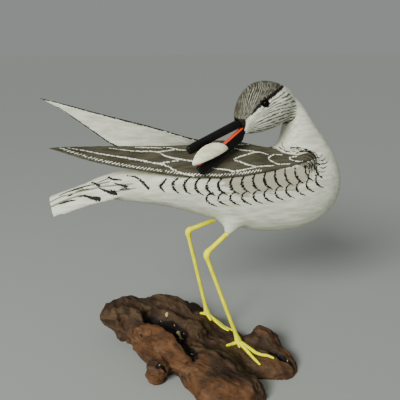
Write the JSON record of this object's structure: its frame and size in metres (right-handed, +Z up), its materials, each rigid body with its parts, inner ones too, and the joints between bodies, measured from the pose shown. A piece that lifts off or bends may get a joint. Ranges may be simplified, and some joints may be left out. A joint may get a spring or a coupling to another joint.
{
  "type": "shorebird decoy",
  "caption": "Preening long-legged shorebird, carved and painted in wood, on bent rod legs that stand on a flat-bottomed burl of driftwood.",
  "frame": {"origin": "on the flat underside of the driftwood, below the bird's middle plane", "axes": "+Z up, +X the way the bird's breast faces, -Y the bird's right side, which the picture shows"},
  "size_m": [0.2144, 0.1287, 0.2049],
  "materials": {
    "white_paint": "white paint on carved wood, with fine brush marks",
    "taupe_paint": "satin taupe paint on wood",
    "black_paint": "satin black paint on wood",
    "cream_paint": "smooth cream paint on wood",
    "yellow_paint": "bright yellow paint on rod",
    "black_glass": "polished dark bead",
    "driftwood": "worn burl, dark brown with orange-brown lobes"
  },
  "bodies": {
    "root": {"body": "white_paint", "right_wing": "taupe_paint", "left_wing": "taupe_paint", "upper_bill": "black_paint", "lower_bill": "black_paint", "preened_feather": "cream_paint", "left_eye": "black_glass", "right_eye": "black_glass", "right_leg": "yellow_paint", "left_leg": "yellow_paint", "driftwood_base": "driftwood"}
  },
  "joints": []
}
